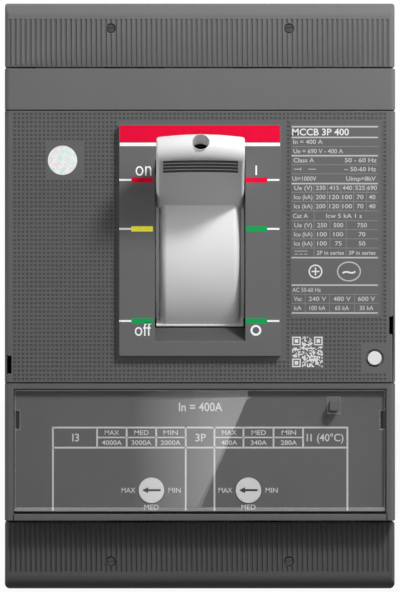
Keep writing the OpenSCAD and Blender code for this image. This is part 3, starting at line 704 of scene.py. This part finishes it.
turns = [2 * math.pi * k / STICKER_STEPS for k in range(STICKER_STEPS)]
edge_of_sticker = [(STICKER_SIDE + STICKER_RADIUS * math.cos(t), STICKER_ROOT - FRONT_DEPTH,
                    STICKER_HEIGHT + STICKER_RADIUS * math.sin(t)) for t in turns]
sticker = bmesh.new()
raised_face(sticker, edge_of_sticker, STICKER_ROOT + STICKER_PROUD)
ink_piece("round_sticker", sticker, sticker_film)

button_plastic = moulded_plastic("button_plastic", (0.72, 0.72, 0.71), roughness=0.36,
                                 relief=0.004 * MM, gloss=0.4, fleck_tone=1.04)
moulding("test_button", "test_button_cap", button_plastic, "dial_plastic", body="test_button")


# ---------------------------------------------------------------------------------------------
# Lever. White toggle with a flat grip, arched finger grooves and a hole in its tip, moulded in
# one with the curved shield that closes the slot. It stands in a zinc plated yoke on an axle.

LEVER_TURN, TIP, HOLE_RADIUS, HOLE_DEPTH = math.radians(29.5), 78.9, 3.13, 8
GROOVES_SIDE, GROOVES_TOP, GROOVES_FOOT, MARGIN = 13.7, 4.5, 14.3, 0.1
pivot = sum(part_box("lever_axle"), Vector()) / 2
straighten = Matrix.Rotation(LEVER_TURN, 3, "X")
lever_plastic = moulded_plastic("lever_plastic", (0.70, 0.70, 0.70), roughness=0.52,
                                relief=0.003 * MM, gloss=0.5, fleck_tone=1.04)


def along_lever(point):
    """The point in millimetres from the pivot, with the lever turned to stand straight out."""
    return straighten @ (point - pivot) / MM


def in_grooves(at, margin):
    """Among the finger grooves, which lie between two depths under the tip, or so near them."""
    return (abs(at.x) < GROOVES_SIDE + margin
            and GROOVES_TOP - margin < TIP + at.y < GROOVES_FOOT + margin)


def fine_detail(point):
    """In the hole of the tip, or in the thin ribs between the finger grooves."""
    at = along_lever(point)
    in_hole = at.xz.length < HOLE_RADIUS + 2 * MARGIN and TIP + at.y < HOLE_DEPTH
    return in_hole or in_grooves(at, MARGIN)


lever = solid_copy("lever_handle", "lever_moulding", lever_plastic)
round_edges(lever, 0.3 * MM, crisp=fine_detail)
smooth_curves(lever)
in_place_of(lever, "lever_plastic", "lever", "lever_handle")

# The walls of the finger grooves get a dark grey: painted shade in the grooves.
GRIP_HALF = 4.75
lever.data.materials.append(plain_ink("slot_shade", (0.15, 0.15, 0.15), roughness=0.8))
for face in lever.data.polygons:
    at = along_lever(face.center)
    if abs(at.z) < GRIP_HALF and in_grooves(at, -MARGIN):
        face.material_index = 1

# A thin sleeve lines the hole of the tip, and a black disc deep in the hole is painted shade at its bottom.
SLEEVE_OUTSIDE, SLEEVE_INSIDE, SLEEVE_MOUTH, SLEEVE_END = HOLE_RADIUS + 0.07, HOLE_RADIUS - 0.05, 0.25, 7.4
HOLE_FLOOR_DEPTH, HOLE_FLOOR_THICK, HOLE_STEPS = 7.2, 0.6, 72
to_hole = Matrix.Translation(pivot) @ Matrix.Rotation(math.pi / 2 - LEVER_TURN, 4, "X") @ Matrix.Scale(MM, 4)
sleeve = bmesh.new()
loops = [[sleeve.verts.new(to_hole @ Vector((radius * math.cos(t), radius * math.sin(t), TIP - depth)))
          for t in (2 * math.pi * k / HOLE_STEPS for k in range(HOLE_STEPS))]
         for radius, depth in ((SLEEVE_OUTSIDE, SLEEVE_MOUTH), (SLEEVE_INSIDE, SLEEVE_MOUTH),
                               (SLEEVE_INSIDE, SLEEVE_END), (SLEEVE_OUTSIDE, SLEEVE_END))]
for here, there in zip(loops, loops[1:] + loops[:1]):
    band(sleeve, here, there)
bmesh.ops.recalc_face_normals(sleeve, faces=sleeve.faces)
smooth_curves(ink_piece("tip_hole_sleeve", sleeve, lever_plastic, body="lever"))
plug_rubber = plain_ink("plug_rubber", (0.004, 0.004, 0.004), roughness=0.8)
hole_shade_disc = bmesh.new()
bmesh.ops.create_cone(hole_shade_disc, cap_ends=True, segments=HOLE_STEPS, radius1=HOLE_RADIUS, radius2=HOLE_RADIUS,
                      depth=HOLE_FLOOR_THICK, matrix=Matrix.Translation((0, 0, TIP - HOLE_FLOOR_DEPTH)))
hole_shade_disc.transform(to_hole)
ink_piece("tip_hole_plug", hole_shade_disc, plug_rubber, body="lever")
moulding("lever_yoke", "lever_yoke_steel", zinc_plate, "plated_steel", edge=0.2 * MM, body="lever")
moulding("lever_axle", "lever_axle_steel", zinc_plate, "plated_steel", edge=0.2 * MM)


# ---------------------------------------------------------------------------------------------
# Escutcheon. A raised plate around the lever, moulded separately and clipped in, with a red band
# along its top and coloured bars printed beside the lever's ON, tripped and OFF places.

PLATE_FACE = face_depth("escutcheon")
SLOT_HALF, WALL_FOOT, WALL_TOP = 17.6, 90, PLATE_FACE - 0.6
escutcheon_plastic = moulded_plastic("escutcheon_plastic", (0.132, 0.132, 0.135), roughness=0.52)
slot_wall_plastic = moulded_plastic("slot_wall_plastic", (0.085, 0.085, 0.087), roughness=0.55)
escutcheon = moulding("escutcheon", "escutcheon_moulding", escutcheon_plastic, "escutcheon_moulding",
                      edge=0.15 * MM)
# The walls of the lever's slot are a darker grey than the face: painted shade in the slot.
escutcheon.data.materials.append(slot_wall_plastic)
for face in escutcheon.data.polygons:
    if abs(face.center.x) < SLOT_HALF * MM and WALL_FOOT * MM < -face.center.y < WALL_TOP * MM:
        face.material_index = 1
red_ink = plain_ink("red_ink", (0.76, 0.003, 0.04))
green_ink = plain_ink("green_ink", (0.008, 0.35, 0.085))
yellow_ink = plain_ink("yellow_ink", (1, 0.98, 0.06))
bright_ink = plain_ink("bright_ink", (0.92, 0.92, 0.92))
ON_ROW, TRIP_ROW, OFF_ROW = 41.6, 24.05, -8.95
INSIDE, BAR_END, OUTSIDE, SHIFT = 16.6, 24.35, 28.7, -0.3
BAR_HALF, TICK_HALF = 0.95, 0.35
BAND_LEFT, BAND_RIGHT, BAND_FOOT, BAND_TOP = -28.8, 28.65, 55.1, 61.2
EDGE_LINE_FOOT, EDGE_LINE_TOP = 53.7, 54.95
for name, ink, bars in (
        ("red_print", red_ink, ((-1, ON_ROW), (1, ON_ROW))),
        ("green_print", green_ink, ((1, TRIP_ROW), (-1, OFF_ROW), (1, OFF_ROW))),
        ("yellow_print", yellow_ink, ((-1, TRIP_ROW),))):
    printed = bmesh.new()
    for side, z in bars:
        x0, x1 = sorted((side * INSIDE + SHIFT, side * BAR_END + SHIFT))
        ink_block(printed, x0, x1, z - BAR_HALF, z + BAR_HALF, PLATE_FACE)
    if ink is red_ink:
        ink_block(printed, BAND_LEFT, BAND_RIGHT, BAND_FOOT, BAND_TOP, PLATE_FACE)
    ink_piece(name, printed, ink)
white_marks = bmesh.new()
ink_block(white_marks, BAND_LEFT, BAND_RIGHT, EDGE_LINE_FOOT, EDGE_LINE_TOP, PLATE_FACE)
for z in (ON_ROW, TRIP_ROW, OFF_ROW):
    for side in (-1, 1):
        x0, x1 = sorted((side * BAR_END + SHIFT, side * OUTSIDE + SHIFT))
        ink_block(white_marks, x0, x1, z - TICK_HALF, z + TICK_HALF, PLATE_FACE)
ink_words(white_marks, "on", -20.3, 45.7, 5.2, PLATE_FACE, bold=0, width=5.7)
ink_words(white_marks, "off", -20.4, -11.9, 4.7, PLATE_FACE, bold=0, width=6.0)
# An upright stroke for on and a ring for off stand at the right.
ink_block(white_marks, 19.8, 20.4, 43.35, 46.75, PLATE_FACE)
ink_ring(white_marks, 20.0, -12.3, outer=1.95, inner=1.2, depth=PLATE_FACE)
bmesh.ops.recalc_face_normals(white_marks, faces=white_marks.faces)
ink_piece("white_print", white_marks, bright_ink)


# ---------------------------------------------------------------------------------------------
# Terminal covers. Two mouldings over the terminals with upright ribs, plain along the rounded
# outer edge and round the two blackened slotted screws that hold each of them.

COVER_DEPTH = face_depth("upper_terminal_cover")
cover_plastic = moulded_plastic("cover_plastic", (0.147, 0.147, 0.15), roughness=0.5)
# The upper cover's grooves take a darker grey: painted shade in the grooves.
groove_plastic = moulded_plastic("groove_plastic", (0.118, 0.118, 0.12), roughness=0.5)
# The lower cover is a darker grey than the upper one: painted shade, as less light reaches the foot of the
# breaker; its grooves keep the same grey.
lower_cover_shaded_plastic = moulded_plastic("lower_cover_plastic", (0.084, 0.084, 0.086), roughness=0.5)
GROOVE_PITCH, GROOVE_MOUTH, GROOVE_PROUD, GROOVE_SHARE = 1.8059, 0.95, 0.05, (0.55, 1, 0.97)
FIRST_GROOVE, GROOVES = -68.1, 76
SCREW_SIDE, COLLAR_RADIUS, COLLAR_HEIGHT, COLLAR_STEPS = 32.0, 1.95, 4, 32
# For each cover: foot and top of its grooves, height of its screws, and depth of its grooves.
UPPER_COVER, LOWER_COVER = (82.6, 99.5, 96.1, 0.38), (-99.1, -81.6, -95.4, 0.55)
for node, name, plastic, inside, (low, high, screw, sunk) in (
        ("upper_terminal_cover", "upper_cover_moulding", cover_plastic, groove_plastic, UPPER_COVER),
        ("lower_terminal_cover", "lower_cover_moulding", lower_cover_shaded_plastic, lower_cover_shaded_plastic, LOWER_COVER)):
    cover = solid_copy(node, name, plastic)
    round_edges(cover, 0.5 * MM)
    places = [(FIRST_GROOVE + GROOVE_PITCH * i, -COVER_DEPTH - GROOVE_PROUD, (low + high) / 2)
              for i in range(GROOVES)]
    grooves = grow(name + "_grooves", points("grooves", places), stamp_tree(name + " grooves", inside),
                   Mouth_size=(GROOVE_MOUTH * MM, sunk * MM, (high - low) * MM), Floor_share=GROOVE_SHARE)
    # Round the screws the grooves stop and leave a plain collar.
    collars = bmesh.new()
    for side in (-1, 1):
        centre = Vector((side * SCREW_SIDE, -COVER_DEPTH, screw)) * MM
        bmesh.ops.create_cone(collars, cap_ends=True, segments=COLLAR_STEPS, radius1=COLLAR_RADIUS * MM,
                              radius2=COLLAR_RADIUS * MM, depth=COLLAR_HEIGHT * MM,
                              matrix=Matrix.Translation(centre) @ Matrix.Rotation(math.pi / 2, 4, "X"))
    collar_mesh = bpy.data.meshes.new("collars")
    collars.to_mesh(collar_mesh)
    collars.free()
    cut(grooves, new_piece("collars", collar_mesh))
    cut(cover, grooves)
    smooth_curves(cover)
    in_place_of(cover, "terminal_cover_moulding", "case", node)
black_steel = brushed_metal("blackened_steel", (0.075, 0.075, 0.078), roughness=0.5)
for where in ("upper_cover_screw_left", "upper_cover_screw_right",
              "lower_cover_screw_left", "lower_cover_screw_right"):
    moulding(where, where + "_steel", black_steel, "blackened_steel", edge=0.12 * MM)


# ---------------------------------------------------------------------------------------------
# Studio. A pale floor and a white surround that metal and glass show, a key light from the upper
# right, softer lights around it and behind, a bright card for the flap, and a long lens in front.

def sheet(name, corners, material):
    """A flat four-cornered sheet of the studio."""
    mesh = bpy.data.meshes.new(name)
    mesh.from_pydata(corners, [], [(0, 1, 2, 3)])
    return new_piece(name, mesh, material)


FLOOR_HALF, FLOOR_GAP, FLOOR_WHITE = 8, 0.2 * MM, 0.96
floor_paint = bpy.data.materials.new("floor_paint")
floor_paint.use_nodes = True
nodes, links = floor_paint.node_tree.nodes, floor_paint.node_tree.links
nodes["Principled BSDF"].inputs["Base Color"].default_value = (0.08, 0.08, 0.08, 1)
nodes["Principled BSDF"].inputs["Roughness"].default_value = 0.9
nodes["Principled BSDF"].inputs["Specular IOR Level"].default_value = 0


def seen_directly(nodes, links):
    """1 for what the eye, metal and glass show, 0 for the light that falls on things."""
    rays = nodes.new("ShaderNodeLightPath")
    straight, shown = nodes.new("ShaderNodeMath"), nodes.new("ShaderNodeMath")
    straight.operation = shown.operation = "MAXIMUM"
    links.new(rays.outputs["Is Camera Ray"], straight.inputs[0])
    links.new(rays.outputs["Is Transmission Ray"], straight.inputs[1])
    links.new(straight.outputs["Value"], shown.inputs[0])
    links.new(rays.outputs["Is Glossy Ray"], shown.inputs[1])
    return shown.outputs["Value"]


white = nodes.new("ShaderNodeEmission")
share = nodes.new("ShaderNodeMath")
share.operation = "MULTIPLY"
share.inputs[1].default_value = FLOOR_WHITE
blend = nodes.new("ShaderNodeMixShader")
links.new(seen_directly(nodes, links), share.inputs[0])
links.new(share.outputs["Value"], blend.inputs["Fac"])
links.new(nodes["Principled BSDF"].outputs["BSDF"], blend.inputs[1])
links.new(white.outputs["Emission"], blend.inputs[2])
links.new(blend.outputs["Shader"], nodes["Material Output"].inputs["Surface"])
floor_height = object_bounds()[0].z - FLOOR_GAP
sheet("floor", [(x * FLOOR_HALF, y * FLOOR_HALF, floor_height)
                         for x, y in ((-1, -1), (1, -1), (1, 1), (-1, 1))], floor_paint)

world = bpy.data.worlds.new("studio")
scene.world = world
world.use_nodes = True
nodes, links = world.node_tree.nodes, world.node_tree.links
sky, backdrop = nodes["Background"], nodes.new("ShaderNodeBackground")
sky.inputs["Color"].default_value = (1, 1, 1, 1)
towards, upper_right = nodes.new("ShaderNodeTexCoord"), nodes.new("ShaderNodeVectorMath")
bright = nodes.new("ShaderNodeMapRange")
upper_right.operation = "DOT_PRODUCT"
upper_right.inputs[1].default_value = (0.3, -0.35, 0.89)
for socket, value in (("From Min", -0.4), ("From Max", 1), ("To Min", 0.01), ("To Max", 0.35)):
    bright.inputs[socket].default_value = value
links.new(towards.outputs["Generated"], upper_right.inputs[0])
links.new(upper_right.outputs["Value"], bright.inputs["Value"])
links.new(bright.outputs["Result"], sky.inputs["Strength"])
backdrop.inputs["Color"].default_value = (1, 1, 1, 1)
backdrop.inputs["Strength"].default_value = 1
blend = nodes.new("ShaderNodeMixShader")
links.new(seen_directly(nodes, links), blend.inputs["Fac"])
links.new(sky.outputs["Background"], blend.inputs[1])
links.new(backdrop.outputs["Background"], blend.inputs[2])
links.new(blend.outputs["Shader"], nodes["World Output"].inputs["Surface"])


def lamp(name, place, target, size, watts, mirrored=True):
    """A round lamp that points at a target; one that isn't mirrored gives no highlight."""
    light = bpy.data.lights.new(name, "AREA")
    light.shape = "DISK"
    light.size = size
    light.energy = watts
    holder = bpy.data.objects.new(name, light)
    holder.location = place
    holder.rotation_mode = "QUATERNION"
    holder.rotation_quaternion = (target - place).to_track_quat("-Z", "Y")
    holder.visible_glossy = mirrored
    scene.collection.objects.link(holder)


FACE = Vector((0, -0.101, 0))
lamp("key_light", FACE + 0.43 * Vector((0.80, -1, 1.2)), FACE, 0.12, 4.4)
lamp("soft_light", FACE + Vector((0.26, -0.32, 0.34)), FACE, 0.35, 0.75)
lamp("fill_light", FACE + Vector((-0.05, -0.9, -0.01)), FACE, 0.16, 1.35, mirrored=False)
lamp("right_rim_light", FACE + Vector((0.7, -0.08, 0.15)), FACE, 0.3, 1.5, mirrored=False)
lamp("left_rim_light", FACE + Vector((-0.7, -0.05, 0)), FACE, 0.3, 2.0, mirrored=False)
lamp("back_light", Vector((-0.6, 1.3, 0.9)), Vector((0, 0, 0)), 1.0, 14)

# A bright card with a slanted edge and a dark flag behind it, which only gloss shows.
CARD_REACH, CARD_AWAY, CARD_WHITE = 1.18, 900, 1.3
CARD_CORNERS = ((-19, -33), (24.95, -33), (5.45, -77), (-19, -77))
FLAG_AWAY = 950
FLAG_CORNERS = ((-170, -10), (170, -10), (170, -150), (-170, -150))
card_paint = bpy.data.materials.new("card_paint")
card_paint.use_nodes = True
nodes, links = card_paint.node_tree.nodes, card_paint.node_tree.links
nodes.remove(nodes["Principled BSDF"])
glow, place = nodes.new("ShaderNodeEmission"), nodes.new("ShaderNodeTexCoord")
split, fade = nodes.new("ShaderNodeSeparateXYZ"), nodes.new("ShaderNodeMapRange")
for socket, value in (("From Min", -0.021), ("From Max", 0.016), ("To Max", CARD_WHITE)):
    fade.inputs[socket].default_value = value
links.new(place.outputs["Object"], split.inputs["Vector"])
links.new(split.outputs["X"], fade.inputs["Value"])
links.new(fade.outputs["Result"], glow.inputs["Strength"])
links.new(glow.outputs["Emission"], nodes["Material Output"].inputs["Surface"])
flag_paint = plain_ink("flag_paint", (0, 0, 0), roughness=1)
card_corners = [Vector((x * CARD_REACH, -CARD_AWAY, z * CARD_REACH)) * MM for x, z in CARD_CORNERS]
flag_corners = [Vector((x, -FLAG_AWAY, z)) * MM for x, z in FLAG_CORNERS]
for mirrored_only in (sheet("card", card_corners, card_paint), sheet("flag", flag_corners, flag_paint)):
    mirrored_only.visible_camera = mirrored_only.visible_diffuse = mirrored_only.visible_shadow = False
    mirrored_only.visible_transmission = False

EYE_LEFT, EYE_AWAY, AIM_AWAY = 0.042, 4.6, 0.1
lens = bpy.data.cameras.new("long_lens")
lens.sensor_width = 36
lens.lens = 763
lens.clip_end = 50
camera = bpy.data.objects.new("long_lens", lens)
camera.location = (-EYE_LEFT, -EYE_AWAY, 0)
camera.rotation_euler = (math.pi / 2, 0, -math.atan2(EYE_LEFT, EYE_AWAY - AIM_AWAY))
scene.collection.objects.link(camera)
scene.camera = camera
scene.view_settings.view_transform = "Standard"
